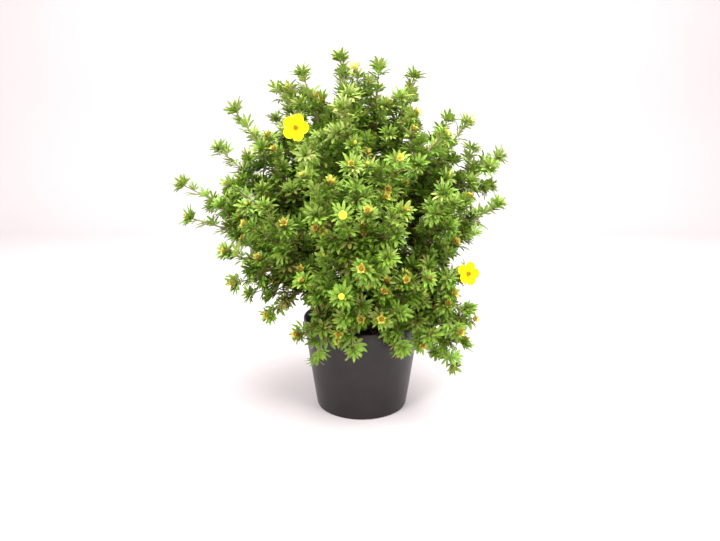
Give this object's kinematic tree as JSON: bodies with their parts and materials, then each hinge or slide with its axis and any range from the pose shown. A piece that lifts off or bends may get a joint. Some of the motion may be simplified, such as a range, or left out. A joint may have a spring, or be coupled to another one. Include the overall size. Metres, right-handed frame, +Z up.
{
  "type": "potted kobold shrubby cinquefoil",
  "caption": "Bushy shrubby cinquefoil with hand-shaped leaves and yellow five-petalled flowers, in a tapered round nursery pot filled with soil.",
  "frame": {"origin": "centre of the pot's flat underside", "axes": "+Z up through the pot's axis, -Y towards the shrub's front, +X to the right seen from the front"},
  "size_m": [0.3934, 0.3312, 0.4371],
  "materials": {
    "pot_plastic": "charcoal moulded plastic with a soft sheen",
    "soil": "dark crumbly potting soil",
    "bark": "thin peeling brown bark",
    "leaf": "soft green leaves with a slight sheen",
    "petal": "bright yellow petals, matt"
  },
  "bodies": {
    "root": {"pot": "pot_plastic", "soil": "soil", "woody_stems": "bark", "spray_01": "leaf", "spray_02": "leaf", "spray_03": "leaf", "spray_04": "leaf", "spray_05": "leaf", "spray_06": "leaf", "spray_07": "leaf", "spray_08": "leaf", "spray_09": "leaf", "spray_10": "leaf", "spray_11": "leaf", "spray_12": "leaf", "spray_13": "leaf", "spray_14": "leaf", "spray_15": "leaf", "spray_16": "leaf", "spray_17": "leaf", "spray_18": "leaf", "spray_19": "leaf", "spray_20": "leaf", "spray_21": "leaf", "spray_22": "leaf", "spray_23": "leaf", "spray_24": "leaf", "spray_25": "leaf", "spray_26": "leaf", "spray_27": "leaf", "spray_28": "leaf", "spray_29": "leaf", "spray_30": "leaf", "spray_31": "leaf", "spray_32": "leaf", "spray_33": "leaf", "spray_34": "leaf", "spray_35": "leaf", "spray_36": "leaf", "spray_37": "leaf", "spray_38": "leaf", "spray_39": "leaf", "spray_40": "leaf", "spray_41": "leaf", "spray_42": "leaf", "spray_43": "leaf", "spray_44": "leaf", "spray_45": "leaf", "spray_46": "leaf", "spray_47": "leaf", "spray_48": "leaf", "spray_49": "leaf", "spray_50": "leaf", "spray_51": "leaf", "spray_52": "leaf", "flower_upper_left": "petal", "flower_top": "petal", "flower_half_open": "petal", "flower_right": "petal", "bud_front": "petal"}
  },
  "joints": []
}
